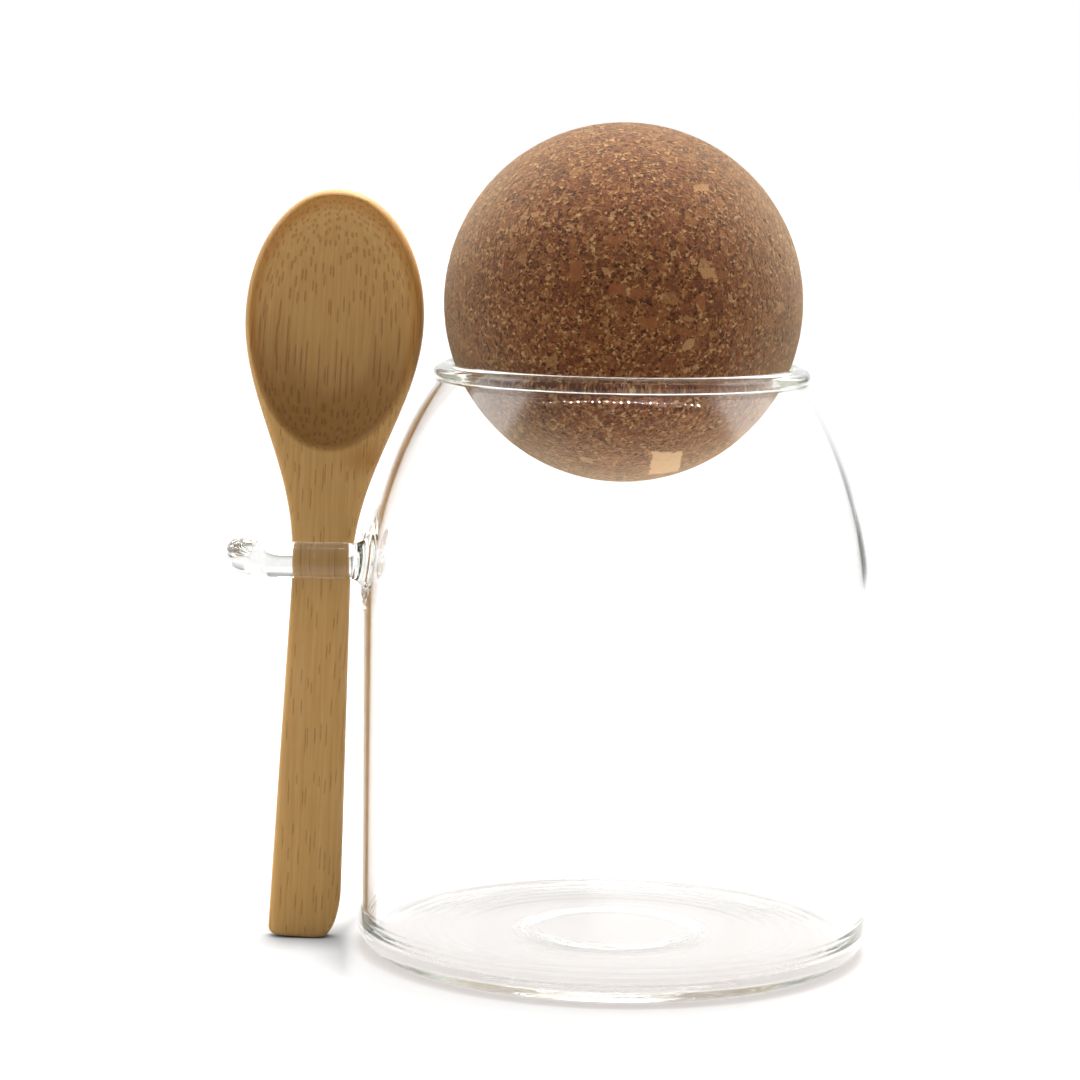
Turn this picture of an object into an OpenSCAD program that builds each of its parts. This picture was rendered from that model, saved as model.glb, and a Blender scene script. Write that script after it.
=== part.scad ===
// Glass jar with a cork ball for a lid and a bamboo spoon held in a glass loop on its side.
// The jar's axis is Z, the table is Z = 0, the spoon hangs on the -X side and its bowl faces -Y.

/* [Jar] */
// Outside diameter of the jar's straight wall
jar_d = 100; // [90:0.5:130]
// Height from the table to the top of the lip
jar_h = 114.6; // [108:0.2:140]
// Thickness of the side wall and shoulder
wall_t = 1.8; // [1.2:0.1:2.6]
// Thickness of the floor
floor_t = 2.4; // [1.6:0.1:4]
// Outside radius of the heel, where the wall turns into the floor
heel_r = 4.3; // [3:0.1:7]
// Height above the floor up to which the glass of the heel thins out into the wall
heel_in_h = 6.6; // [3:0.1:9]
// Height at which the straight wall starts to turn in
shoulder_z = 65; // [50:0.5:72]
// Clear width through the lip
mouth_d = 64.8; // [58:0.2:67]
// Thickness of the fire-polished lip
lip_t = 3; // [2.6:0.1:4]
// Thickness of the rolled edge on the outside of the lip
roll_t = 2.6; // [2.2:0.1:2.8]
// Distance by which the rolled edge stands out from the lip's middle
roll_out = 1.3; // [1.1:0.1:1.6]
// Distance by which the rolled edge hangs below the lip's middle
roll_drop = 0.4; // [0.2:0.1:0.8]
// Radius of the hollows between the lip and the shoulder
lip_hollow_r = 0.6; // [0.4:0.1:1.2]
// Width of the push-up in the middle of the underside
push_up_d = 40; // [24:0.5:60]
// Width of the rounded step round the push-up
push_up_step = 6; // [3:0.5:10]
// Height of the push-up above the table
push_up_h = 0.8; // [0.3:0.1:2]

/* [Cork ball] */
// Amount by which the ball is wider than the mouth that it sits in
ball_over = 4.6; // [4.2:0.2:9]
// Gap left between ball and lip where the ball is seated
seat_gap = 0.2; // [0.1:0.05:0.5]

/* [Spoon loop] */
// Diameter of the glass rod
rod_d = 7; // [5:0.1:8]
// Height of the rod's middle above the table
loop_z = 76; // [60:0.5:82]
// Clear gap between the loop's two arms
loop_gap = 8; // [7:0.1:12]
// Clear distance from the jar's wall to the inside of the bend
loop_reach = 20.5; // [19:0.5:26]
// Radius of the flare where each arm meets the wall
weld_flare_r = 2.4; // [1:0.1:3.5]
// Height of the weld patch that the rod was melted on with
weld_patch_h = 22; // [12:0.5:26]
// Amount by which the weld patch stands proud of the wall
weld_patch_t = 0.9; // [0.4:0.1:1.4]

/* [Bamboo spoon] */
// Length of the spoon
spoon_l = 147.2; // [135:0.2:165]
// Width of the handle at its foot
handle_w = 14.2; // [12:0.1:16]
// Width of the handle at its narrowest, under the bowl
neck_w = 11.4; // [9:0.1:13]
// Thickness of the handle
handle_t = 5; // [4:0.1:6]
// Width of the bowl
bowl_w = 34.6; // [30:0.2:37]
// Thickness of the bowl from its rim to its back
bowl_t = 8.4; // [7.6:0.1:10]
// Depth of the hollow in the bowl
bowl_depth = 4.2; // [3:0.1:5]
// Width of the rim round the hollow
rim_w = 1.1; // [0.8:0.1:2]
// Length from the bowl's widest place to its tip
tip_l = 25.2; // [20:0.2:30]
// Length over which the neck opens out into the bowl
bowl_blend_l = 52; // [44:0.5:58]
// Roundness of the handle's edge that is nearer the jar, at the foot
foot_r_near = 3.5; // [2:0.1:5]
// Roundness of the handle's other edge, at the foot
foot_r_far = 1.5; // [1:0.1:3]
// Lean of the spoon towards the jar, in degrees
spoon_lean = 2.3; // [1:0.1:3]
// Clear distance between the jar's wall and the handle at the loop
spoon_gap = 2.7; // [2.5:0.1:4]

/* [Hidden] */
$fn = 96;

// Jar profile, from the radius of the wall inwards
jar_r = jar_d / 2;
lip_r = lip_t / 2;
lip_c = [mouth_d / 2 + lip_r, jar_h - lip_r];
lip_in = jar_r - lip_c.x;
lip_up = lip_c.y - shoulder_z;
// The shoulder's wall runs into the middle of the lip, which sets the shoulder's radius
shoulder_r = (lip_in * lip_in + lip_up * lip_up - wall_t * wall_t / 4) / (2 * lip_in - wall_t);
shoulder_c = [jar_r - shoulder_r, shoulder_z];
roll_r = roll_t / 2;
roll_c = lip_c + [roll_out, -roll_drop];
// Bearing at which one straight line touches both the lip and its rolled edge
roll_bearing = bearing(roll_c, lip_c) - acos((roll_r - lip_r) / norm(lip_c - roll_c));
hollow_out_c = meet(roll_c, roll_r + lip_hollow_r, shoulder_c, shoulder_r + lip_hollow_r, 1);
shoulder_end = bearing(shoulder_c, hollow_out_c);
hollow_in_c = meet(lip_c, lip_r + lip_hollow_r, shoulder_c, shoulder_r - wall_t - lip_hollow_r, 1);

// Seat of the ball, which touches the lip all round but for the gap
ball_r = (mouth_d + ball_over) / 2;
seat_reach = ball_r + lip_r + seat_gap;
ball_z = lip_c.y + sqrt(seat_reach * seat_reach - lip_c.x * lip_c.x);

// Loop
rod_r = rod_d / 2;
arm_y = loop_gap / 2 + rod_r;
wall_at_loop = wall_radius(loop_z);
wall_slope = asin(max(0, loop_z - shoulder_z) / shoulder_r);
bend_x = -(wall_at_loop + loop_reach - loop_gap / 2);
weld_half_w = arm_y + rod_r + weld_flare_r;
weld_depth = wall_at_loop - sqrt(wall_at_loop * wall_at_loop - weld_half_w * weld_half_w) + wall_t;
weld_patch_r = 1 / (1 / wall_at_loop + 2 * weld_patch_t / (weld_half_w * weld_half_w));
weld_patch_rise_r = 1 / (1 / shoulder_r + 8 * weld_patch_t / (weld_patch_h * weld_patch_h));

// Spoon
wide_s = spoon_l - tip_l;
foot_h = 10;
edge_power = 0.55;
ring_n = 40;
near_flat = handle_w / 2 - foot_r_near;
spoon_x = -(wall_at_loop + spoon_gap + half_w(loop_z) / cos(spoon_lean)) - loop_z * tan(spoon_lean);

// One of the two places where two circles meet
function meet(c1, r1, c2, r2, side) =
    let (
        gap = c2 - c1,
        d = norm(gap),
        along = (d * d + r1 * r1 - r2 * r2) / (2 * d),
        across = sqrt(r1 * r1 - along * along),
        u = gap / d
    )
    c1 + along * u + side * across * [-u.y, u.x];

function bearing(from, to) = atan2(to.y - from.y, to.x - from.x);

// Points along an arc but for its first, which ends the stretch before it
function arc(c, r, a0, a1, n) =
    [for (k = [1:n]) let (a = a0 + (a1 - a0) * k / n) c + r * [cos(a), sin(a)]];

// Outside radius of the jar at a height between its heel and its lip
function wall_radius(z) =
    let (up = max(0, z - shoulder_z))
    shoulder_c.x + sqrt(shoulder_r * shoulder_r - up * up);

// Height of the push-up at a distance from the axis
function push_up(r) =
    let (out = (r - push_up_d / 2 + push_up_step) / push_up_step)
    push_up_h * (1 + cos(180 * min(1, max(0, out)))) / 2;

function push_up_curve(base) =
    [for (k = [0:6]) let (r = push_up_d / 2 - push_up_step * (1 - k / 6)) [r, base + push_up(r)]];

outer_curve = concat(
    [[jar_r - heel_r, 0]],
    arc([jar_r - heel_r, heel_r], heel_r, -90, 0, 8),
    [[jar_r, shoulder_z]],
    arc(shoulder_c, shoulder_r, 0, shoulder_end, 22),
    arc(hollow_out_c, lip_hollow_r, 180 + shoulder_end, 180 + bearing(roll_c, hollow_out_c), 5)
);

lip_curve = concat(
    arc(roll_c, roll_r, bearing(roll_c, hollow_out_c), roll_bearing, 6),
    [lip_c + lip_r * [cos(roll_bearing), sin(roll_bearing)]],
    arc(lip_c, lip_r, roll_bearing, bearing(lip_c, hollow_in_c) + 360, 14)
);

// The inside of the heel, an oval quarter from the wall down to the floor
heel_in_w = heel_r - wall_t;
heel_in_curve = [for (k = [0:10])
    let (a = -9 * k)
    [jar_r - heel_r + heel_in_w * cos(a), floor_t + heel_in_h * (1 + sin(a))]];

inner_curve = concat(
    arc(hollow_in_c, lip_hollow_r, bearing(hollow_in_c, lip_c), bearing(shoulder_c, hollow_in_c), 5),
    arc(shoulder_c, shoulder_r - wall_t, bearing(shoulder_c, hollow_in_c), 0, 22),
    heel_in_curve
);

// Half of the spoon's width at a distance from its foot
function half_w(s) =
    let (
        handle = handle_w + (neck_w - handle_w) * min(1, s / (wide_s - bowl_blend_l)),
        down = min(1, max(0, (wide_s - s) / bowl_blend_l)),
        up = min(1, max(0, (s - wide_s) / tip_l))
    )
    (s > wide_s ? bowl_w * sqrt(1 - up * up) : handle + (bowl_w - handle) * pow(cos(90 * down), 2.6)) / 2;

// Side of the spoon at a distance from its foot, drawn in at the foot by a rounded corner
function side_x(s, corner_r, corner_h) =
    let (down = max(0, 1 - s / corner_h))
    half_w(s) - corner_r * (1 - sqrt(1 - down * down));

// Share of the bowl's full thickness at a distance from the foot
function bowl_share(s) =
    let (down = min(1, max(0, (wide_s - 3 - s) / bowl_blend_l)), up = max(0, (s - wide_s + 3) / (tip_l + 3)))
    pow(cos(90 * down), 2) * (1 - 0.62 * up * up);

// Roundness of the tip and of the foot, seen from the side
function end_round(s) =
    let (top = max(0, (s - spoon_l + 2) / 2), foot = max(0, 1 - s / 0.8))
    sqrt(1 - 0.75 * top * top) - 0.12 * foot * foot;

front_y = -handle_t / 2;
function back_y(s) = handle_t / 2 + (bowl_t - handle_t) * bowl_share(s);

// Depth of the hollow at a place in the bowl: an oval dish with a flat middle and walls that steepen to its edge
hollow_mid = wide_s - 0.6;
hollow_half_l = spoon_l - rim_w - hollow_mid;
hollow_half_w = bowl_w / 2 - rim_w;
function hollow(x, s) =
    let (
        along = (s - hollow_mid) / hollow_half_l,
        across = x / hollow_half_w,
        out = along * along + across * across
    )
    bowl_depth * pow(max(0, 1 - out * out), 0.9);

// One closed ring of points across the spoon
function ring(s) =
    let (
        near = side_x(s, foot_r_near, foot_h),
        far = side_x(s, foot_r_far, foot_r_far),
        shrink = end_round(s),
        mid = (front_y + back_y(s)) / 2,
        half_t = (back_y(s) - front_y) / 2 * shrink
    )
    [for (k = [0:ring_n - 1])
        let (
            a = 360 * k / ring_n,
            c = pow(abs(cos(a)), edge_power) * sign(cos(a)),
            b = pow(abs(sin(a)), edge_power) * sign(sin(a)),
            x = c * (c > 0 ? near : far),
            dip = b < 0 ? hollow(x, s) * min(1, -b) : 0
        )
        [x, mid + half_t * b + dip, s]];

// Places of the rings: close together at the foot, in the bowl and at the tip
ring_s = concat(
    [0, 0.4, 0.8, 1.5, 3, 6, foot_h],
    [for (k = [1:4]) foot_h + (wide_s - bowl_blend_l - foot_h) * k / 4],
    [for (k = [1:26]) wide_s - bowl_blend_l * (1 - k / 26)],
    [for (k = [1:14]) wide_s + tip_l * sin(84 * k / 14)],
    [spoon_l - 0.01]
);

module glass_jar() {
    color([0.86, 0.93, 0.9, 0.4])
        rotate_extrude()
            polygon(concat(
                [[0, push_up_h]],
                push_up_curve(0),
                outer_curve,
                lip_curve,
                inner_curve,
                [for (k = [6:-1:0]) push_up_curve(floor_t)[k]],
                [[0, floor_t + push_up_h]]
            ));
}

// The jar as a full block of glass, which cuts the loop to the curve of the wall
module jar_block() {
    rotate_extrude()
        polygon(concat([[0, 0]], outer_curve, [[0, hollow_out_c.y]]));
}

module arm(side) {
    translate([bend_x, side * arm_y, loop_z])
        rotate([0, 90, 0])
            cylinder(r = rod_r, h = -bend_x - wall_at_loop + weld_depth);
    // Flare where the molten rod ran out on the wall
    translate([-wall_at_loop + weld_depth, side * arm_y, loop_z])
        rotate([0, -90, 0])
            rotate_extrude()
                difference() {
                    square([rod_r + weld_flare_r, weld_depth + weld_flare_r]);
                    translate([rod_r + weld_flare_r, weld_depth + weld_flare_r])
                        circle(r = weld_flare_r);
                }
}

module weld_patch() {
    translate([-wall_at_loop, 0, loop_z])
        rotate([0, wall_slope, 0])
            translate([weld_patch_r - weld_patch_t, 0, 0])
                rotate_extrude()
                    intersection() {
                        translate([weld_patch_r - weld_patch_rise_r, 0])
                            circle(r = weld_patch_rise_r);
                        translate([0, -weld_patch_h])
                            square([weld_patch_r, 2 * weld_patch_h]);
                    }
}

module spoon_loop() {
    color([0.8, 0.9, 0.86, 0.5])
        difference() {
            union() {
                arm(-1);
                arm(1);
                translate([bend_x, 0, loop_z])
                    rotate([0, 0, 90])
                        rotate_extrude(angle = 180)
                            translate([arm_y, 0])
                                circle(r = rod_r);
                weld_patch();
            }
            jar_block();
        }
}

module cork_ball() {
    color([0.58, 0.4, 0.26])
        translate([0, 0, ball_z])
            sphere(r = ball_r);
}

module bamboo_spoon() {
    last = len(ring_s) - 1;
    points = [for (s = ring_s) each ring(s)];
    sides = [for (j = [0:last - 1], k = [0:ring_n - 1])
        let (a = j * ring_n + k, b = j * ring_n + (k + 1) % ring_n)
        each [[a, a + ring_n, b + ring_n], [a, b + ring_n, b]]];
    foot = [for (k = [0:ring_n - 1]) k];
    tip = [for (k = [ring_n - 1:-1:0]) last * ring_n + k];
    color([0.76, 0.58, 0.36])
        translate([spoon_x, 0, near_flat * sin(spoon_lean)])
            rotate([0, spoon_lean, 0])
                polyhedron(points, concat(sides, [foot, tip]));
}

glass_jar();
spoon_loop();
cork_ball();
bamboo_spoon();
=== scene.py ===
"""Looks of the glass jar with a cork ball and a bamboo spoon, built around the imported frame.

Everything is in metres in the frame's axes: Z up, the table at Z = 0, the spoon on the -X side, the camera at -Y.
"""
import math

import bpy
import numpy as np
from mathutils import Matrix, Vector


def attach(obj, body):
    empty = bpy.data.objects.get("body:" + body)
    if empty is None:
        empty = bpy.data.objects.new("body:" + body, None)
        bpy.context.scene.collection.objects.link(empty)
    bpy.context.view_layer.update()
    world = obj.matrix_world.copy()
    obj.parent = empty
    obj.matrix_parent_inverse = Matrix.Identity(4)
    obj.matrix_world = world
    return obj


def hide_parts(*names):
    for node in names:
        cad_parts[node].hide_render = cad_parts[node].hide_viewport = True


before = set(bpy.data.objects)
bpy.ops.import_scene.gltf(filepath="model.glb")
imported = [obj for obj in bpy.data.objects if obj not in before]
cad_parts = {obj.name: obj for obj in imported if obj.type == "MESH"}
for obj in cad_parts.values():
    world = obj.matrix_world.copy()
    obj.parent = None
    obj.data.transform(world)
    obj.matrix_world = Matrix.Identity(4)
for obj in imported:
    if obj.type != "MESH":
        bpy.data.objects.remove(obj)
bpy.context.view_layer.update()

MM = 0.001
rng = np.random.default_rng(7)

# The same named sizes as in part.scad, in millimetres
JAR_R, JAR_H, WALL, FLOOR, HEEL_R, HEEL_IN_H = 50.0, 114.6, 1.8, 2.4, 4.3, 6.6
SHOULDER_Z, MOUTH_D, LIP_T = 65.0, 64.8, 3.0
ROLL_T, ROLL_OUT, ROLL_DROP, HOLLOW_R = 2.6, 1.3, 0.4, 0.6
PUSH_D, PUSH_STEP, PUSH_H = 40.0, 6.0, 0.8
BALL_R, SEAT_GAP = 34.7, 0.2
ROD_R, LOOP_Z, LOOP_GAP, LOOP_REACH, FLARE = 3.5, 76.0, 8.0, 20.5, 2.4
PATCH_H, PATCH_T = 22.0, 0.9
SPOON_L, HANDLE_W, NECK_W, HANDLE_T = 147.2, 14.2, 11.4, 5.0
BOWL_W, BOWL_T, BOWL_DEPTH, RIM_W, TIP_L, BLEND_L = 34.6, 8.4, 4.2, 1.1, 25.2, 52.0
FOOT_NEAR, FOOT_FAR, FOOT_H, LEAN, SPOON_GAP = 3.5, 1.5, 10.0, 2.3, 2.7


# ---------------------------------------------------------------- shared helpers
def bearing(a, b):
    return math.degrees(math.atan2(b[1] - a[1], b[0] - a[0]))


def arc(c, r, a0, a1, n):
    """Points along an arc but for its first."""
    a = np.radians(a0 + (a1 - a0) * np.arange(1, n + 1) / n)
    return [(c[0] + r * x, c[1] + r * y) for x, y in zip(np.cos(a), np.sin(a))]


def meet(c1, r1, c2, r2):
    gap = np.subtract(c2, c1)
    d = np.hypot(*gap)
    along = (d * d + r1 * r1 - r2 * r2) / (2 * d)
    across = math.sqrt(r1 * r1 - along * along)
    u = gap / d
    return (c1[0] + along * u[0] - across * u[1], c1[1] + along * u[1] + across * u[0])


def make_mesh(name, points_mm, faces, body, replaced):
    """A smooth-shaded piece from points in millimetres, standing for CAD nodes."""
    mesh = bpy.data.meshes.new(name)
    mesh.from_pydata((np.asarray(points_mm) * MM).tolist(), [], faces)
    mesh.validate()
    mesh.polygons.foreach_set("use_smooth", [True] * len(mesh.polygons))
    mesh.update()
    obj = bpy.data.objects.new(name, mesh)
    bpy.context.scene.collection.objects.link(obj)
    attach(obj, body)
    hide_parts(*replaced)
    return obj


# ---------------------------------------------------------------- jar and loop, one piece of glass
lip_r = LIP_T / 2
lip_c = (MOUTH_D / 2 + lip_r, JAR_H - lip_r)
lip_in, lip_up = JAR_R - lip_c[0], lip_c[1] - SHOULDER_Z
shoulder_r = (lip_in ** 2 + lip_up ** 2 - WALL ** 2 / 4) / (2 * lip_in - WALL)
shoulder_c = (JAR_R - shoulder_r, SHOULDER_Z)
roll_r = ROLL_T / 2
roll_c = (lip_c[0] + ROLL_OUT, lip_c[1] - ROLL_DROP)
roll_bearing = bearing(roll_c, lip_c) - math.degrees(math.acos((roll_r - lip_r) / math.dist(lip_c, roll_c)))
hollow_out = meet(roll_c, roll_r + HOLLOW_R, shoulder_c, shoulder_r + HOLLOW_R)
hollow_in = meet(lip_c, lip_r + HOLLOW_R, shoulder_c, shoulder_r - WALL - HOLLOW_R)
ball_z = lip_c[1] + math.sqrt((BALL_R + lip_r + SEAT_GAP) ** 2 - lip_c[0] ** 2)


def wall_radius(z):
    up = np.maximum(0, np.asarray(z, float) - SHOULDER_Z)
    return shoulder_c[0] + np.sqrt(shoulder_r ** 2 - up ** 2)


def push_up(r):
    out = (r - PUSH_D / 2 + PUSH_STEP) / PUSH_STEP
    return PUSH_H * (1 + math.cos(math.pi * min(1, max(0, out)))) / 2


ARM_Y = LOOP_GAP / 2 + ROD_R
wall_at_loop = float(wall_radius(LOOP_Z))
bend_x = -(wall_at_loop + LOOP_REACH - LOOP_GAP / 2)
loop_slope = math.degrees(math.asin((LOOP_Z - SHOULDER_Z) / shoulder_r))
PATCH_W = ARM_Y + ROD_R + FLARE


def weld_bump(y, z):
    """How far the weld patch stands proud of the wall."""
    rho = (y / PATCH_W) ** 2 + ((z - LOOP_Z) / (PATCH_H / 2)) ** 2
    return PATCH_T * np.clip(1 - rho, 0, 1) ** 1.5


def on_wall(y, z):
    """Point of the outer wall on the loop's side, over a place in the Y-Z plane."""
    r = wall_radius(z)
    x = -np.sqrt(r * r - y * y)
    b = weld_bump(y, z)
    return np.array([x + b * x / r, y + b * y / r, z])


SEG = 360            # columns round the jar; column 0 is at -X
ARM_COLS = 18        # columns taken by each arm's weld
ROW_STEP = 0.5       # degrees between rows on the shoulder
ARM_ROWS = 10        # rows above and below the arm's middle taken by its weld


def floor_ripple(r):
    """Rings that the mould leaves in the top of the floor, towards the heel and round the push-up."""
    outer = 0.024 * max(0, (r - 26) / 19) * math.sin(r * 2.4)
    inner = 0.016 * math.exp(-((r - 18.0) / 2.6) ** 2) * math.sin(r * 6.3)
    return outer + inner if r > PUSH_D / 2 - PUSH_STEP + 0.2 else 0.0


def rod_ripple(x, t):
    """Share of the rod's radius at a place along an arm, uneven in between but full at both ends."""
    fade = math.sin(math.pi * t) ** 0.3
    return 1 - 0.005 * fade * (1 + 0.6 * math.sin(x * 2.1) + 0.4 * math.sin(x * 3.4 + 1))


def glass_profile():
    """Half section of the jar from the middle of its underside round to the middle of its floor, and the weld's rows."""
    end = bearing(shoulder_c, hollow_out)
    pts = [(0, PUSH_H)]
    pts += [(r, push_up(r)) for r in np.linspace(1.5, PUSH_D / 2 - PUSH_STEP, 8)]
    pts += [(r, push_up(r)) for r in np.linspace(PUSH_D / 2 - PUSH_STEP, PUSH_D / 2, 14)[1:]]
    pts += [(r, 0.0) for r in np.linspace(PUSH_D / 2, JAR_R - HEEL_R, 12)[1:]]
    pts += arc((JAR_R - HEEL_R, HEEL_R), HEEL_R, -90, 0, 24)
    pts += [(JAR_R, z) for z in np.linspace(HEEL_R, SHOULDER_Z, 18)[1:]]
    first = loop_slope - 14 * ROW_STEP
    angles = [first + k * ROW_STEP for k in range(200) if first + k * ROW_STEP < end - 0.3] + [end - 0.15, end - 0.04, end]
    low = len(pts) + 14 - ARM_ROWS
    pts += [(shoulder_c[0] + shoulder_r * math.cos(math.radians(a)),
             shoulder_c[1] + shoulder_r * math.sin(math.radians(a))) for a in angles]
    pts += arc(hollow_out, HOLLOW_R, 180 + end, 180 + bearing(roll_c, hollow_out), 10)
    pts += arc(roll_c, roll_r, bearing(roll_c, hollow_out), roll_bearing, 12)
    top = (lip_c[0] + lip_r * math.cos(math.radians(roll_bearing)),
           lip_c[1] + lip_r * math.sin(math.radians(roll_bearing)))
    pts += [tuple(np.add(pts[-1], np.subtract(top, pts[-1]) * k / 4)) for k in (1, 2, 3, 4)]
    pts += arc(lip_c, lip_r, roll_bearing, bearing(lip_c, hollow_in) + 360, 32)
    inner_end = bearing(shoulder_c, hollow_in)
    pts += arc(hollow_in, HOLLOW_R, bearing(hollow_in, lip_c), inner_end, 10)
    pts += arc(shoulder_c, shoulder_r - WALL, inner_end, 0, 60)
    in_x, in_w = JAR_R - HEEL_R, HEEL_R - WALL
    pts += [(JAR_R - WALL, z) for z in np.linspace(SHOULDER_Z, FLOOR + HEEL_IN_H, 18)[1:]]
    for a in np.radians(np.linspace(0, -90, 61)[1:]):
        z = FLOOR + HEEL_IN_H * (1 + math.sin(a))
        ripple = 0.03 * math.sin((z - FLOOR) * 5.2) * math.sin(-2 * a)
        pts.append((in_x + in_w * math.cos(a) + ripple, z))
    pts += [(r, FLOOR + floor_ripple(r)) for r in np.linspace(in_x, PUSH_D / 2, 100)[1:]]
    pts += [(r, FLOOR + push_up(r) + floor_ripple(r)) for r in np.linspace(PUSH_D / 2, PUSH_D / 2 - PUSH_STEP, 40)[1:]]
    pts += [(r, FLOOR + push_up(r)) for r in np.linspace(PUSH_D / 2 - PUSH_STEP, 1.5, 8)[1:]]
    pts += [(0, FLOOR + PUSH_H)]
    return pts, low, low + 2 * ARM_ROWS


def build_glass():
    profile, low, high = glass_profile()
    points, faces, grid = [], [], {}
    for row, (r, z) in enumerate(profile):
        if r == 0:
            points.append((0, 0, z))
            for col in range(SEG):
                grid[row, col] = len(points) - 1
            continue
        for col in range(SEG):
            side = (col + SEG // 2) % SEG - SEG // 2
            if low < row < high and 0 < abs(side) < ARM_COLS:
                continue
            a = math.pi - 2 * math.pi * col / SEG
            x, y = r * math.cos(a), r * math.sin(a)
            if low - 40 < row < high + 40 and r > JAR_R - 12 and x < 0 and row < low + 70:
                b = float(weld_bump(y, z)) / r
                x, y = x * (1 + b), y * (1 + b)
            grid[row, col] = len(points)
            points.append((x, y, z))
    last = len(profile) - 1
    for row in range(last):
        for col in range(SEG):
            nxt = (col + 1) % SEG
            side = (col + SEG // 2) % SEG - SEG // 2
            if low <= row < high and -ARM_COLS <= side < ARM_COLS:
                continue
            ring = [grid[row, col], grid[row, nxt], grid[row + 1, nxt], grid[row + 1, col]]
            faces.append(list(dict.fromkeys(ring)))

    def border(sign):
        """Rows and columns round one arm's opening in the grid, in the same order for both arms."""
        ring = [(low, c) for c in range(ARM_COLS)] + [(r, ARM_COLS) for r in range(low, high)]
        ring += [(high, c) for c in range(ARM_COLS, 0, -1)] + [(r, 0) for r in range(high, low, -1)]
        return [(r, (sign * c) % SEG) for r, c in ring]

    def bridge(a, b):
        n = len(a)
        for k in range(n):
            faces.append([a[k], a[(k + 1) % n], b[(k + 1) % n], b[k]])

    def add(ring_points):
        start = len(points)
        points.extend(tuple(float(v) for v in p) for p in ring_points)
        return list(range(start, len(points)))

    chains = {}
    for sign in (1, -1):
        edge = [grid[key] for key in border(sign)]
        yz = np.array([[abs(points[i][1]), points[i][2]] for i in edge])
        phi = np.arctan2(yz[:, 1] - LOOP_Z, yz[:, 0] - ARM_Y)
        circle = np.stack([ARM_Y + (ROD_R + FLARE) * np.cos(phi), LOOP_Z + (ROD_R + FLARE) * np.sin(phi)], 1)
        rings = [edge]
        for t in (0.25, 0.5, 0.75, 1.0):
            p = yz + (circle - yz) * t
            rings.append(add([on_wall(sign * y, z) for y, z in p]))
        for t in np.linspace(0, 90, 13)[1:]:
            rho = ROD_R + FLARE * (1 - math.sin(math.radians(t)))
            out = FLARE * (1 - math.cos(math.radians(t)))
            ring = []
            for f in phi:
                p = on_wall(sign * (ARM_Y + rho * math.cos(f)), LOOP_Z + rho * math.sin(f))
                ring.append((p[0] - out, sign * (ARM_Y + rho * math.cos(f)), LOOP_Z + rho * math.sin(f)))
            rings.append(add(ring))
        root = np.array([points[i] for i in rings[-1]])
        for t in np.linspace(0, 1, 97)[1:]:
            ring = root.copy()
            ring[:, 0] = root[:, 0] + (bend_x - root[:, 0]) * t
            # A hand-drawn rod is never quite even
            ripple = rod_ripple(float(np.mean(ring[:, 0])), t)
            ring[:, 1] = sign * ARM_Y + (ring[:, 1] - sign * ARM_Y) * ripple
            ring[:, 2] = LOOP_Z + (ring[:, 2] - LOOP_Z) * ripple
            rings.append(add(ring))
        for a, b in zip(rings, rings[1:]):
            bridge(a, b)
        chains[sign] = (rings[-1], phi)
    ring, phi = chains[1]
    for t in np.linspace(0, 180, 49)[1:-1]:
        rad = ARM_Y + ROD_R * np.cos(phi)
        a = math.radians(t)
        nxt = add(np.stack([bend_x - rad * math.sin(a), rad * math.cos(a), LOOP_Z + ROD_R * np.sin(phi)], 1))
        bridge(ring, nxt)
        ring = nxt
    bridge(ring, chains[-1][0])

    glass = make_mesh("jar_glass", points, faces, "jar", ["glass_jar", "spoon_loop"])
    import bmesh
    bm = bmesh.new()
    bm.from_mesh(glass.data)
    bmesh.ops.recalc_face_normals(bm, faces=bm.faces)
    bm.to_mesh(glass.data)
    bm.free()
    glass.data.update()
    return glass


glass = build_glass()


# ---------------------------------------------------------------- cork ball
def noise3(p, cell, seed):
    """Smooth value noise at points, from -1 to 1, with a cell size in the points' unit."""
    q = p / cell
    i = np.floor(q).astype(np.int64)
    f = q - i
    f = f * f * (3 - 2 * f)
    total = np.zeros(len(p))
    for dx in (0, 1):
        for dy in (0, 1):
            for dz in (0, 1):
                h = (i[:, 0] + dx) * 73856093 ^ (i[:, 1] + dy) * 19349663 ^ (i[:, 2] + dz) * 83492791 ^ seed * 2654435761
                h = (h ^ (h >> 13)) * 1274126177 & 0x7FFFFFFF
                h = (h ^ (h >> 16)) & 0xFFFF
                w = (f[:, 0] if dx else 1 - f[:, 0]) * (f[:, 1] if dy else 1 - f[:, 1]) * (f[:, 2] if dz else 1 - f[:, 2])
                total += w * (h / 32767.5 - 1)
    return total


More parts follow.
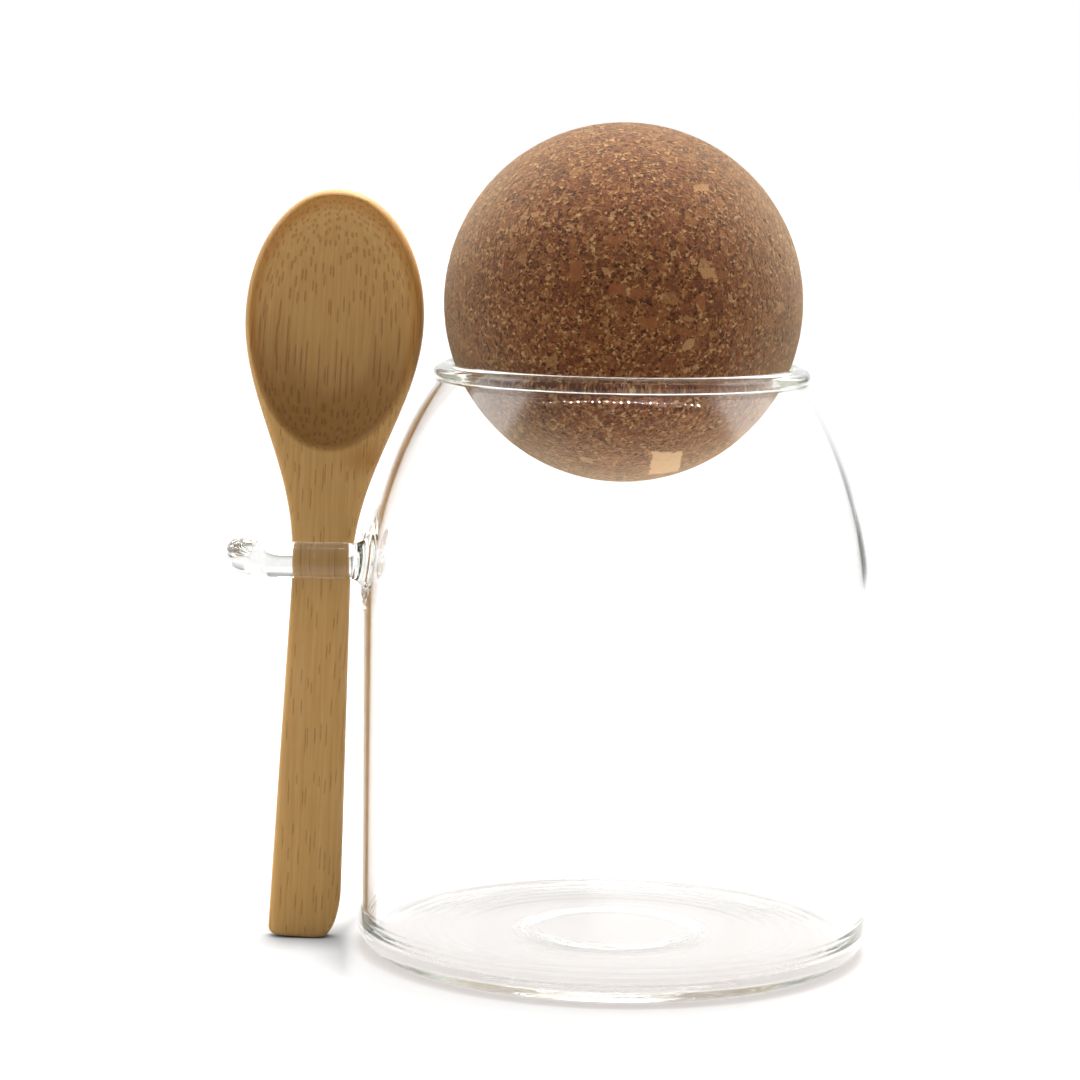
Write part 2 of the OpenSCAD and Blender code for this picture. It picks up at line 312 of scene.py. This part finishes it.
def build_ball():
    """A ball as six bulged grids, pitted all over as pressed granules are."""
    n = 150
    points, faces, seen = [], [], {}
    step = np.tan(np.linspace(-math.pi / 4, math.pi / 4, n + 1))
    for axis in range(3):
        for sign in (-1, 1):
            ids = np.zeros((n + 1, n + 1), int)
            for i in range(n + 1):
                for j in range(n + 1):
                    p = [0.0, 0.0, 0.0]
                    p[axis], p[(axis + 1) % 3], p[(axis + 2) % 3] = sign, step[i] * sign, step[j]
                    key = tuple(round(v, 6) for v in p)
                    if key not in seen:
                        seen[key] = len(points)
                        points.append(p)
                    ids[i, j] = seen[key]
            for i in range(n):
                for j in range(n):
                    faces.append([int(ids[i, j]), int(ids[i + 1, j]), int(ids[i + 1, j + 1]), int(ids[i, j + 1])])
    p = np.array(points)
    p /= np.linalg.norm(p, axis=1)[:, None]
    at = p * BALL_R
    grain = noise3(at, 0.9, 3) * 0.5 + noise3(at, 1.9, 5) * 0.5
    pits = np.clip(noise3(at, 1.3, 11) - 0.55, 0, 1) * 0.45 + np.clip(noise3(at, 2.6, 12) - 0.6, 0, 1) * 0.5
    depth = 0.05 * (1 - grain) / 2 + pits
    at = p * (BALL_R - 0.01 - depth)[:, None] + np.array([0, 0, ball_z])
    return make_mesh("cork_ball_granules", at, faces, "lid", ["cork_ball"])


ball = build_ball()


# ---------------------------------------------------------------- bamboo spoon
wide_s = SPOON_L - TIP_L


def half_w(s):
    handle = HANDLE_W + (NECK_W - HANDLE_W) * min(1, s / (wide_s - BLEND_L))
    down = min(1, max(0, (wide_s - s) / BLEND_L))
    up = min(1, max(0, (s - wide_s) / TIP_L))
    if s > wide_s:
        return BOWL_W * math.sqrt(max(0, 1 - up * up)) / 2
    return (handle + (BOWL_W - handle) * max(0.0, math.cos(math.pi / 2 * down)) ** 2.6) / 2


def side_x(s, corner_r, corner_h):
    down = max(0, 1 - s / corner_h)
    return half_w(s) - corner_r * (1 - math.sqrt(max(0, 1 - down * down)))


def bowl_share(s):
    down = min(1, max(0, (wide_s - 3 - s) / BLEND_L))
    up = max(0, (s - wide_s + 3) / (TIP_L + 3))
    return max(0.0, math.cos(math.pi / 2 * down)) ** 2 * (1 - 0.62 * up * up)


def end_round(s):
    top = min(1, max(0, (s - SPOON_L + 2) / 2))
    foot = max(0, 1 - s / 0.8)
    return math.sqrt(1 - 0.75 * top * top) - 0.12 * foot * foot


def hollow(x, s):
    mid = wide_s - 0.6
    along = (s - mid) / (SPOON_L - RIM_W - mid)
    out = along * along + (x / (BOWL_W / 2 - RIM_W)) ** 2
    return BOWL_DEPTH * max(0, 1 - out * out) ** 0.9


spoon_x = -(wall_at_loop + SPOON_GAP + half_w(LOOP_Z) / math.cos(math.radians(LEAN))) \
    - LOOP_Z * math.tan(math.radians(LEAN))
spoon_lift = (HANDLE_W / 2 - FOOT_NEAR) * math.sin(math.radians(LEAN))


def build_spoon():
    n = 200
    s_list = list(np.linspace(0, 0.8, 5)) + list(np.linspace(0.8, FOOT_H, 14)[1:])
    s_list += list(np.linspace(FOOT_H, wide_s - BLEND_L, 16)[1:])
    s_list += list(np.linspace(wide_s - BLEND_L, wide_s, 130)[1:])
    s_list += [wide_s + TIP_L * math.sin(math.radians(a)) for a in np.linspace(0, 88.5, 76)[1:]]
    points, faces = [], []
    edge = 0.5
    for s in s_list:
        near, far = side_x(s, FOOT_NEAR, FOOT_H), side_x(s, FOOT_FAR, FOOT_FAR)
        back = HANDLE_T / 2 + (BOWL_T - HANDLE_T) * bowl_share(s)
        front = -HANDLE_T / 2
        mid, half_t = (front + back) / 2, (back - front) / 2 * end_round(s)
        for k in range(n):
            a = 2 * math.pi * k / n
            c = abs(math.cos(a)) ** edge * math.copysign(1, math.cos(a))
            b = abs(math.sin(a)) ** edge * math.copysign(1, math.sin(a))
            x = c * (near if c > 0 else far)
            dip = hollow(x, s) * min(1, -b) if b < 0 else 0
            points.append((x, mid + half_t * b + dip, s))
    rings = len(s_list)
    for j in range(rings - 1):
        for k in range(n):
            a, b = j * n + k, j * n + (k + 1) % n
            faces.append([a, b, b + n, a + n])
    faces.append([k for k in range(n - 1, -1, -1)])
    faces.append([(rings - 1) * n + k for k in range(n)])
    p = np.array(points)
    lean = math.radians(LEAN)
    out = np.stack([p[:, 0] * math.cos(lean) + p[:, 2] * math.sin(lean) + spoon_x,
                    p[:, 1],
                    -p[:, 0] * math.sin(lean) + p[:, 2] * math.cos(lean) + spoon_lift], 1)
    return make_mesh("bamboo_spoon_cut", out, faces, "spoon", ["bamboo_spoon"])


spoon = build_spoon()


# ---------------------------------------------------------------- materials
def srgb(r, g, b):
    """Linear colour from 8-bit display values."""
    def lin(v):
        v /= 255
        return v / 12.92 if v <= 0.04045 else ((v + 0.055) / 1.055) ** 2.4
    return (lin(r), lin(g), lin(b), 1)


class Nodes:
    """Short calls for building a node tree."""

    def __init__(self, tree):
        self.tree = tree
        tree.nodes.clear()

    def add(self, kind, inputs=None, **settings):
        node = self.tree.nodes.new(kind)
        for key, value in settings.items():
            setattr(node, key, value)
        for key, value in (inputs or {}).items():
            socket = node.inputs[key]
            if hasattr(value, "is_output"):
                self.tree.links.new(value, socket)
            else:
                socket.default_value = value
        return node

    def math(self, op, a, b=0.0, c=0.0, clamp=False):
        return self.add("ShaderNodeMath", {0: a, 1: b, 2: c}, operation=op, use_clamp=clamp).outputs[0]

    def mix(self, fac, a, b, blend="MIX"):
        node = self.add("ShaderNodeMix", {0: fac, 6: a, 7: b}, data_type="RGBA", blend_type=blend)
        return node.outputs[2]

    def ramp(self, fac, stops, interpolation="LINEAR"):
        node = self.add("ShaderNodeValToRGB", {0: fac})
        r = node.color_ramp
        r.interpolation = interpolation
        while len(r.elements) < len(stops):
            r.elements.new(0.5)
        for e, (pos, col) in zip(r.elements, stops):
            e.position, e.color = pos, col
        return node.outputs[0]

    def window(self, value, low, high, soft):
        """1 between two values and 0 outside them, with soft edges."""
        up = self.add("ShaderNodeMapRange", {0: value, 1: low - soft, 2: low + soft},
                      interpolation_type="SMOOTHSTEP").outputs[0]
        down = self.add("ShaderNodeMapRange", {0: value, 1: high - soft, 2: high + soft, 3: 1.0, 4: 0.0},
                        interpolation_type="SMOOTHSTEP").outputs[0]
        return self.math("MULTIPLY", up, down)

    def noise(self, vector, scale, detail=2.0, rough=0.5):
        return self.add("ShaderNodeTexNoise", {"Vector": vector, "Scale": scale, "Detail": detail,
                                               "Roughness": rough}).outputs[0]

    def voronoi(self, vector, scale, feature="F1", dims="3D", randomness=1.0):
        return self.add("ShaderNodeTexVoronoi", {"Vector": vector, "Scale": scale, "Randomness": randomness},
                        feature=feature, voronoi_dimensions=dims)


def material(name):
    mat = bpy.data.materials.new(name)
    mat.use_nodes = True
    return mat, Nodes(mat.node_tree)


def glass_material():
    mat, n = material("clear_borosilicate_glass")
    bsdf = n.add("ShaderNodeBsdfPrincipled", {"Base Color": (1, 1, 1, 1), "Roughness": 0.0, "IOR": 1.47,
                                              "Transmission Weight": 1.0})
    tint = n.add("ShaderNodeVolumeAbsorption", {"Color": (0.78, 0.86, 0.64, 1), "Density": 2.5})
    out = n.add("ShaderNodeOutputMaterial", {"Surface": bsdf.outputs[0], "Volume": tint.outputs[0]})
    return mat


# Chips on the ball: bearing from the front and height angle in degrees, half width and half height in millimetres,
# skew, and colour; the first is the big pale one low on the ball
PALE, TAN, RUST = (240, 198, 150), (200, 147, 95), (160, 97, 55)
CHIPS = [
    (29.2, -59.2, 3.2, 4.9, 0.41, PALE),
    (27.2, 12.6, 1.6, 0.9, 0.5, TAN), (20.9, -9.1, 1.0, 1.2, -0.5, TAN), (-5.3, 12.9, 0.7, 0.6, 0.3, TAN),
    (33.0, 41.3, 1.7, 0.8, -0.3, TAN), (-33.9, 30.2, 0.8, 0.6, 0.4, TAN),
    (-1.7, 7.5, 1.5, 1.0, 0.2, RUST), (4.4, 6.1, 1.35, 0.85, -0.3, RUST), (7.6, -2.6, 1.7, 1.1, 0.2, RUST),
    (-3.2, 22.7, 2.0, 0.8, -0.4, RUST), (-15.0, 13.0, 1.2, 2.0, 0.1, RUST), (24.5, 3.5, 0.7, 1.3, 0.2, RUST),
]


def cork_material():
    """Pressed granules: fine splinters, larger smooth chips, a few pale ones and dark pores."""
    mat, n = material("pressed_cork")
    at = n.add("ShaderNodeTexCoord").outputs["Object"]

    def warped(scale, reach):
        swirl = n.add("ShaderNodeTexNoise", {"Vector": at, "Scale": scale, "Detail": 2.0})
        off = n.add("ShaderNodeVectorMath", {0: swirl.outputs["Color"], 1: (0.5, 0.5, 0.5)},
                    operation="SUBTRACT").outputs[0]
        off = n.add("ShaderNodeVectorMath", {0: off, 3: reach}, operation="SCALE").outputs[0]
        return n.add("ShaderNodeVectorMath", {0: at, 1: off}, operation="ADD").outputs[0]

    def step(value, low, high, top=1.0):
        return n.add("ShaderNodeMapRange", {0: value, 1: low, 2: high, 3: 0.0, 4: top}).outputs[0]

    def along(vector, way):
        return n.add("ShaderNodeVectorMath", {0: vector, 1: tuple(way)}, operation="DOT_PRODUCT").outputs["Value"]

    fine_at, chip_at = warped(1100.0, 0.0012), warped(420.0, 0.0018)
    fine = n.voronoi(fine_at, 2000.0)
    fine_value = n.add("ShaderNodeSeparateColor", {0: fine.outputs["Color"]}).outputs[0]
    body = n.ramp(fine_value, [(0.0, srgb(69, 33, 15)), (0.25, srgb(114, 63, 31)), (0.6, srgb(145, 86, 45)),
                               (0.86, srgb(174, 117, 67)), (1.0, srgb(210, 166, 111))])

    def chipped(base, scale, share, cover, strength):
        """Lays flat-toned chips of one size over the fine grain."""
        chips = n.add("ShaderNodeTexVoronoi", {"Vector": chip_at, "Scale": scale}, feature="F1",
                      distance="CHEBYCHEV")
        split = n.add("ShaderNodeSeparateColor", {0: chips.outputs["Color"]})
        tone = n.ramp(split.outputs[1], [(0.0, srgb(106, 56, 32)), (0.4, srgb(134, 77, 42)),
                                         (0.75, srgb(155, 95, 54)), (0.95, srgb(178, 124, 75)),
                                         (1.0, srgb(206, 161, 111))])
        inner = n.math("MULTIPLY", n.math("GREATER_THAN", split.outputs[0], 1 - share),
                       n.math("LESS_THAN", chips.outputs["Distance"], cover))
        return n.mix(n.math("MULTIPLY", inner, strength), base, tone)

    base = chipped(body, 640.0, 0.42, 0.4, 0.6)
    base = chipped(base, 330.0, 0.3, 0.36, 0.75)
    speck = n.noise(fine_at, 2600.0, 4.0, 0.75)
    base = n.mix(step(speck, 0.46, 0.35, 0.75), base, srgb(66, 31, 14))
    base = n.mix(step(speck, 0.57, 0.69, 0.45), base, srgb(208, 160, 107))
    pore = n.math("GREATER_THAN", n.noise(warped(1500.0, 0.001), 1300.0, 2.0, 0.6), 0.665)
    base = n.mix(n.math("MULTIPLY", pore, 0.75), base, srgb(50, 24, 12))
    edge_at = warped(800.0, 0.0016)
    for bearing_deg, rise_deg, half_w, half_h, skew, colour in CHIPS:
        a, b = math.radians(bearing_deg), math.radians(rise_deg)
        out = Vector((math.sin(a) * math.cos(b), -math.cos(a) * math.cos(b), math.sin(b)))
        side = Vector((math.cos(a), math.sin(a), 0))
        up = out.cross(side)
        mid = Vector((0, 0, ball_z)) * MM
        u = n.math("SUBTRACT", along(edge_at, side), mid.dot(side))
        v = n.math("SUBTRACT", along(edge_at, up), mid.dot(up))
        u = n.math("ADD", u, n.math("MULTIPLY", v, skew))
        reach = n.math("MAXIMUM", n.math("DIVIDE", n.math("ABSOLUTE", u), half_w * MM),
                       n.math("DIVIDE", n.math("ABSOLUTE", v), half_h * MM))
        outward = n.math("GREATER_THAN", along(at, out), (Vector((0, 0, ball_z)) * MM).dot(out))
        shown = n.math("MULTIPLY", n.math("MULTIPLY", step(reach, 1.04, 0.96), outward), 0.8)
        base = n.mix(shown, base, srgb(*colour))
    bump_h = n.math("ADD", n.math("MULTIPLY", fine.outputs["Distance"], 0.5), n.math("MULTIPLY", speck, 1.5))
    bump = n.add("ShaderNodeBump", {"Strength": 0.6, "Distance": 0.00045, "Height": bump_h})
    bsdf = n.add("ShaderNodeBsdfPrincipled", {"Base Color": base, "Roughness": 0.8, "Specular IOR Level": 0.25,
                                              "Sheen Weight": 1.0, "Sheen Roughness": 0.3,
                                              "Sheen Tint": (1.0, 0.8, 0.54, 1),
                                              "Normal": bump.outputs[0]})
    n.add("ShaderNodeOutputMaterial", {"Surface": bsdf.outputs[0]})
    return mat


def bamboo_material():
    """Fibre bundles along the spoon: dots where the hollow cuts across them, dashes where it runs along them."""
    mat, n = material("bamboo")
    at = n.add("ShaderNodeTexCoord").outputs["Object"]
    foot = n.add("ShaderNodeVectorMath", {0: at, 1: (spoon_x * MM, 0, spoon_lift * MM)}, operation="SUBTRACT").outputs[0]
    local = n.add("ShaderNodeMapping", {"Vector": foot, "Rotation": (0, math.radians(-LEAN), 0)}).outputs[0]
    x, y, s = n.add("ShaderNodeSeparateXYZ", {0: local}).outputs

    def joined(a, b, c):
        return n.add("ShaderNodeCombineXYZ", {0: a, 1: b, 2: c}).outputs[0]

    def smooth(value, low, high, first=0.0, last=1.0):
        return n.add("ShaderNodeMapRange", {0: value, 1: low, 2: high, 3: first, 4: last},
                     interpolation_type="SMOOTHSTEP").outputs[0]

    def tinted(base, amount, colour):
        return n.mix(amount, base, colour + (1,), "MULTIPLY")

    slow = n.math("MULTIPLY", s, 0.35)
    sway = n.math("SUBTRACT", n.noise(joined(x, y, slow), 60.0, 1.0), 0.5)
    dive = n.math("SUBTRACT", n.noise(joined(x, n.math("MULTIPLY", y, 0.1), slow), 330.0, 1.0), 0.5)
    rising = n.math("ADD", n.math("MULTIPLY", s, -0.05), n.math("MULTIPLY", dive, 0.0005))
    fx = n.math("ADD", x, n.math("MULTIPLY", sway, 0.0012))
    fy = n.math("ADD", y, rising)
    fibres = n.voronoi(joined(fx, n.math("MULTIPLY", fy, 1.8), 0.0), 920.0, dims="2D", randomness=0.8)
    # The hollow is cut across more of each bundle than the handle
    mid = (wide_s - 0.6) * MM
    down = n.math("DIVIDE", n.math("SUBTRACT", s, mid), (SPOON_L - RIM_W) * MM - mid)
    over = n.math("DIVIDE", x, (BOWL_W / 2 - RIM_W) * MM)
    dish = n.math("ADD", n.math("MULTIPLY", down, down), n.math("MULTIPLY", over, over))
    front = smooth(y, 0.001, 0.0022, 1.0, 0.0)
    in_dish = n.math("MULTIPLY", smooth(dish, 0.85, 1.0, 1.0, 0.0), front)
    reach = n.math("DIVIDE", fibres.outputs["Distance"], n.math("ADD", 1.0, n.math("MULTIPLY", in_dish, 0.75)))
    dot = n.math("MULTIPLY", smooth(reach, 0.09, 0.17, 1.0, 0.0), smooth(reach, 0.01, 0.08, 0.35, 1.0))
    streak = n.noise(joined(fx, y, n.math("MULTIPLY", s, 0.03)), 1800.0, 3.0, 0.6)
    tone = n.ramp(streak, [(0.2, srgb(212, 159, 86)), (0.5, srgb(226, 175, 103)), (0.8, srgb(235, 190, 122))])
    base = n.mix(n.math("MULTIPLY", dot, 0.45), tone, srgb(150, 84, 30))
    # The hollow: painted shade as an orange band inside its rim, stronger in its upper half, painted shade on its
    # lower wall, and a soft patch of painted shade on the rim below it
    painted_rim_shade = n.math("MULTIPLY", smooth(dish, 0.76, 0.92), smooth(dish, 1.0, 1.06, 1.0, 0.0))
    painted_rim_shade = n.math("MULTIPLY", painted_rim_shade, smooth(down, -0.6, -0.1, 0.2, 1.0))
    base = tinted(base, n.math("MULTIPLY", painted_rim_shade, front), (0.86, 0.72, 0.5))
    # Painted shade: the lower wall of the hollow made darker and browner
    wall = n.math("MULTIPLY", smooth(down, 0.35, -0.75), smooth(dish, 0.9, 1.04, 1.0, 0.0))
    base = tinted(base, n.math("MULTIPLY", wall, front), (0.6, 0.52, 0.42))
    # Painted shade: a soft darker patch on the front just below the hollow's lower end
    patch = n.add("ShaderNodeVectorMath", {0: joined(n.math("MULTIPLY", x, 0.6), 0.0, s), 1: (0.0048, 0, 0.0955)},
                  operation="DISTANCE").outputs["Value"]
    base = tinted(base, n.math("MULTIPLY", smooth(patch, 0.0, 0.0045, 1.0, 0.0), front), (0.84, 0.72, 0.55))
    # Painted light and shade: the lower handle lighter, as if lit from the table near its foot, and the upper handle
    # and bowl darker
    base = tinted(base, smooth(s, 0.05, 0.095), (0.86, 0.855, 0.85))
    base = tinted(base, smooth(s, 0.04, 0.004), (1.12, 1.12, 1.12))
    bump = n.add("ShaderNodeBump", {"Strength": 0.25, "Distance": 0.0001,
                                    "Height": n.math("SUBTRACT", streak, dot)})
    bsdf = n.add("ShaderNodeBsdfPrincipled", {"Base Color": base, "Roughness": 0.5, "Specular IOR Level": 0.4,
                                              "Normal": bump.outputs[0]})
    n.add("ShaderNodeOutputMaterial", {"Surface": bsdf.outputs[0]})
    return mat


glass.data.materials.append(glass_material())
ball.data.materials.append(cork_material())
spoon.data.materials.append(bamboo_material())


# ---------------------------------------------------------------- floor, light and camera
def build_floor():
    mesh = bpy.data.meshes.new("floor")
    half = 6.0
    mesh.from_pydata([(-half, -half, 0), (half, -half, 0), (half, half, 0), (-half, half, 0)], [], [[0, 1, 2, 3]])
    floor = bpy.data.objects.new("floor", mesh)
    bpy.context.scene.collection.objects.link(floor)
    floor.location.z = -0.0002
    mat, n = material("white_floor")
    ray = n.add("ShaderNodeLightPath").outputs
    x, y, z = n.add("ShaderNodeSeparateXYZ", {0: n.add("ShaderNodeTexCoord").outputs["Object"]}).outputs
    dist = n.math("SQRT", n.math("ADD", n.math("MULTIPLY", x, x), n.math("MULTIPLY", y, y)))

    def smooth(value, low, high, first=0.0, last=1.0):
        return n.add("ShaderNodeMapRange", {0: value, 1: low, 2: high, 3: first, 4: last},
                     interpolation_type="SMOOTHSTEP").outputs[0]

    # What the glass shows of the table: dark in front of the jar and far away at both sides of the backdrop
    near = n.math("MAXIMUM", smooth(y, -0.2, -0.06, 0.15, 1.0), smooth(x, -0.04, -0.01))
    azimuth = n.math("ARCTAN2", x, y)
    gap = n.math("MULTIPLY", n.window(azimuth, math.radians(24.5), math.radians(45), math.radians(1.5)),
                 smooth(dist, 0.55, 1.1, 0.0, 0.85))
    near = n.math("MULTIPLY", near, n.math("SUBTRACT", 1.0, gap))
    near = n.math("MAXIMUM", near, n.math("MAXIMUM", ray["Is Camera Ray"], ray["Is Diffuse Ray"]))
    # The jar keeps light off the table under its base, most of all round its heel
    under = smooth(dist, 0.0495, 0.052, 0.0, 1.0)
    heel = n.window(dist, 0.0462, 0.0502, 0.0016)
    # Painted contact shadow where the spoon's foot meets the table: ambient occlusion darkens the table's glow and
    # colour there
    contact_shadow = n.add("ShaderNodeAmbientOcclusion", {"Distance": 0.012}, samples=12).outputs["AO"]
    contact_shadow = n.math("MAXIMUM", n.math("POWER", contact_shadow, 1.3), smooth(x, -0.058, -0.048))
    seen = n.math("MULTIPLY", n.math("MAXIMUM", ray["Is Camera Ray"], ray["Is Glossy Ray"]), 0.745)
    # Light that reaches the cork through the glass comes from the table's right and front, not from beside the spoon
    inside = n.math("MULTIPLY", n.math("MINIMUM", ray["Diffuse Depth"], 1.0), ray["Is Transmission Ray"])
    lit_front = n.math("MULTIPLY", smooth(y, -0.12, -0.05, 1.4, 0.0), smooth(x, -0.02, 0.01))
    lit_inside = n.math("MULTIPLY", inside, smooth(x, -0.045, -0.02, -0.75, 1.35))
    through = n.math("MULTIPLY", ray["Is Transmission Ray"], n.math("ADD", lit_front, n.math("ADD", lit_inside, 0.83)))
    seen = n.math("MAXIMUM", seen, n.math("MULTIPLY", ray["Is Diffuse Ray"], 0.2))
    strength = n.math("MULTIPLY", n.math("MAXIMUM", seen, through), n.math("MULTIPLY", near, contact_shadow))
    strength = n.math("MULTIPLY", strength, n.math("SUBTRACT", 1.0, n.math("MULTIPLY", heel, 0.2)))
    # Fine shadow rings that the moulded base throws behind its middle
    lines = n.math("ADD", 0.6, n.math("MULTIPLY", n.math("SINE", n.math("MULTIPLY", dist, 2300.0)), 0.4))
    rear = n.math("MULTIPLY", n.window(dist, 0.0285, 0.0425, 0.002), smooth(y, 0.008, 0.026))
    strength = n.math("MULTIPLY", strength, n.math("SUBTRACT", 1.0, n.math("MULTIPLY", n.math("MULTIPLY", rear, lines), 0.42)))
    tone = n.mix(n.math("MULTIPLY", near, contact_shadow), (0.02, 0.02, 0.02, 1), (0.32, 0.315, 0.31, 1))
    diffuse = n.add("ShaderNodeBsdfDiffuse", {"Color": tone})
    colour = n.mix(under, (0.94, 0.885, 0.85, 1), (1, 0.995, 0.985, 1))
    glow = n.add("ShaderNodeEmission", {"Color": colour, "Strength": strength})
    both = n.add("ShaderNodeAddShader", {0: diffuse.outputs[0], 1: glow.outputs[0]})
    n.add("ShaderNodeOutputMaterial", {"Surface": both.outputs[0]})
    floor.data.materials.append(mat)


def build_world():
    world = bpy.data.worlds.new("soft_studio")
    bpy.context.scene.world = world
    world.use_nodes = True
    n = Nodes(world.node_tree)
    way = n.add("ShaderNodeSeparateXYZ", {0: n.add("ShaderNodeTexCoord").outputs["Generated"]})
    ray = n.add("ShaderNodeLightPath").outputs
    x, y, z = way.outputs
    turn = n.math("ARCTAN2", x, y)
    azimuth = n.math("ABSOLUTE", turn)       # 0 behind the jar, pi at the camera
    height = n.math("ARCSINE", z)
    rad = math.radians
    # What glass shows: white all round, a dark gap each side of the backdrop and a dark front; reflections also show
    # the two lit sides of the tent
    lit_side = n.math("MULTIPLY", n.window(azimuth, rad(62), rad(102), rad(5)), n.window(height, rad(26), rad(56), rad(6)))
    gap = n.math("MULTIPLY", n.window(turn, rad(24.5), rad(45), rad(1.5)), n.window(height, rad(-2), rad(5), rad(4)))
    front = n.math("MULTIPLY", n.window(azimuth, rad(110), rad(400), rad(5)), n.window(height, rad(-2), rad(75), rad(3)))
    dark = n.math("MAXIMUM", n.math("MULTIPLY", gap, 0.65), n.math("MULTIPLY", front, 0.85))
    above = n.add("ShaderNodeMapRange", {0: height, 1: rad(12), 2: rad(40), 3: 0.0, 4: 0.6},
                  interpolation_type="SMOOTHSTEP").outputs[0]
    dark = n.math("MAXIMUM", dark, n.math("MULTIPLY", above, ray["Is Transmission Ray"]))
    mirror = n.math("ADD", n.math("SUBTRACT", 1.0, dark),
                    n.math("MULTIPLY", lit_side, n.math("MULTIPLY", ray["Is Glossy Ray"], 2.2)))
    # What lights the surfaces: strongest from above and from the sides, weakest from the camera's side
    ahead = n.add("ShaderNodeVectorMath", {0: n.add("ShaderNodeTexCoord").outputs["Generated"],
                                           1: (0, -math.cos(rad(28)), math.sin(rad(28)))},
                  operation="DOT_PRODUCT").outputs["Value"]
    open_sky = n.add("ShaderNodeMapRange", {0: ahead, 1: math.cos(rad(82)), 2: math.cos(rad(48)), 3: 1.0, 4: 0.0},
                     interpolation_type="SMOOTHSTEP").outputs[0]
    rise = n.add("ShaderNodeMapRange", {0: z, 1: 0.0, 2: 0.85, 3: 0.85, 4: 2.5},
                 interpolation_type="SMOOTHSTEP").outputs[0]
    rise = n.math("ADD", rise, n.math("MULTIPLY", lit_side, 2.0))
    light = n.add("ShaderNodeMix", {0: open_sky, 2: 0.27, 3: rise}, data_type="FLOAT").outputs[0]
    inside = n.math("MULTIPLY", n.math("MINIMUM", ray["Diffuse Depth"], 1.0), ray["Is Transmission Ray"])
    shade = n.add("ShaderNodeMapRange", {0: azimuth, 1: rad(65), 2: rad(90), 3: 0.0, 4: 0.9},
                  interpolation_type="SMOOTHSTEP").outputs[0]
    mirror = n.math("MULTIPLY", mirror, n.math("SUBTRACT", 1.0, n.math("MULTIPLY", inside, shade)))
    value = n.add("ShaderNodeMix", {0: ray["Is Diffuse Ray"], 2: mirror, 3: light}, data_type="FLOAT").outputs[0]
    value = n.add("ShaderNodeMix", {0: ray["Is Camera Ray"], 2: value, 3: 1.0}, data_type="FLOAT").outputs[0]
    back = n.add("ShaderNodeBackground", {"Color": (1, 1, 1, 1), "Strength": value})
    n.add("ShaderNodeOutputWorld", {"Surface": back.outputs[0]})


def build_camera():
    focal, dist, height = 3432.6, 0.66407, 0.16492
    tilt, roll, pan = math.radians(7.2986), math.radians(0.983), math.radians(-1.3225)
    ahead = Vector((math.sin(pan) * math.cos(tilt), math.cos(pan) * math.cos(tilt), -math.sin(tilt)))
    right0 = Vector((math.cos(pan), -math.sin(pan), 0))
    up0 = Vector((math.sin(pan) * math.sin(tilt), math.cos(pan) * math.sin(tilt), math.cos(tilt)))
    right = right0 * math.cos(roll) + up0 * math.sin(roll)
    up = up0 * math.cos(roll) - right0 * math.sin(roll)
    data = bpy.data.cameras.new("photo_camera")
    data.sensor_width = 36.0
    data.lens = focal / 1080 * 36.0
    data.clip_start, data.clip_end = 0.01, 100
    cam = bpy.data.objects.new("photo_camera", data)
    bpy.context.scene.collection.objects.link(cam)
    cam.matrix_world = Matrix((
        (right.x, up.x, -ahead.x, 0),
        (right.y, up.y, -ahead.y, -dist),
        (right.z, up.z, -ahead.z, height),
        (0, 0, 0, 1)))
    bpy.context.scene.camera = cam


def build_lights():
    def area(name, at, target, size, power):
        data = bpy.data.lights.new(name, "AREA")
        data.shape, data.size, data.energy = "DISK", size, power
        lamp = bpy.data.objects.new(name, data)
        bpy.context.scene.collection.objects.link(lamp)
        lamp.location = at
        lamp.rotation_mode = "QUATERNION"
        lamp.rotation_quaternion = (Vector(target) - Vector(at)).to_track_quat("-Z", "Y")
        lamp.visible_camera = False
        return lamp
    area("top_softbox", (0.05, 0.3, 0.94), (0, 0, 0.08), 0.6, 11.5)


def build_led_strip():
    """The row of small lamps in the top front edge of the photo tent, seen only as dots in the glass."""
    count, radius, top_z = 23, 0.0023, 0.5005
    reach, front_y, bow = 0.293, -0.2645, 1.0
    mat, n = material("lamp_dots")
    ray = n.add("ShaderNodeLightPath").outputs
    first = n.math("MULTIPLY", ray["Is Singular Ray"], n.math("LESS_THAN", ray["Ray Depth"], 1.5))
    glow = n.add("ShaderNodeEmission", {"Color": (1, 0.98, 0.95, 1), "Strength": n.math("MULTIPLY", first, 700.0)})
    n.add("ShaderNodeOutputMaterial", {"Surface": glow.outputs[0]})
    points, faces = [], []
    for k in range(count):
        x = reach * (2 * k / (count - 1) - 1)
        at = np.array([x, front_y + bow * x * x, top_z])
        start = len(points)
        for d in ((1, 0, 0), (-1, 0, 0), (0, 1, 0), (0, -1, 0), (0, 0, 1), (0, 0, -1)):
            points.append(tuple(at + radius * np.array(d)))
        for a, b, c in ((0, 2, 4), (2, 1, 4), (1, 3, 4), (3, 0, 4), (2, 0, 5), (1, 2, 5), (3, 1, 5), (0, 3, 5)):
            faces.append([start + a, start + b, start + c])
    mesh = bpy.data.meshes.new("lamp_dots")
    mesh.from_pydata(points, [], faces)
    dots = bpy.data.objects.new("lamp_dots", mesh)
    bpy.context.scene.collection.objects.link(dots)
    mesh.materials.append(mat)
    dots.visible_camera = dots.visible_diffuse = dots.visible_shadow = dots.visible_transmission = False


build_led_strip()


build_floor()
build_world()
build_lights()
build_camera()

scene = bpy.context.scene
scene.view_settings.view_transform = "Standard"
# Light runs round inside the thick base and the rod, so it needs many turns before it may be dropped
scene.cycles.max_bounces = 96
scene.cycles.transmission_bounces = 96
scene.cycles.glossy_bounces = 96
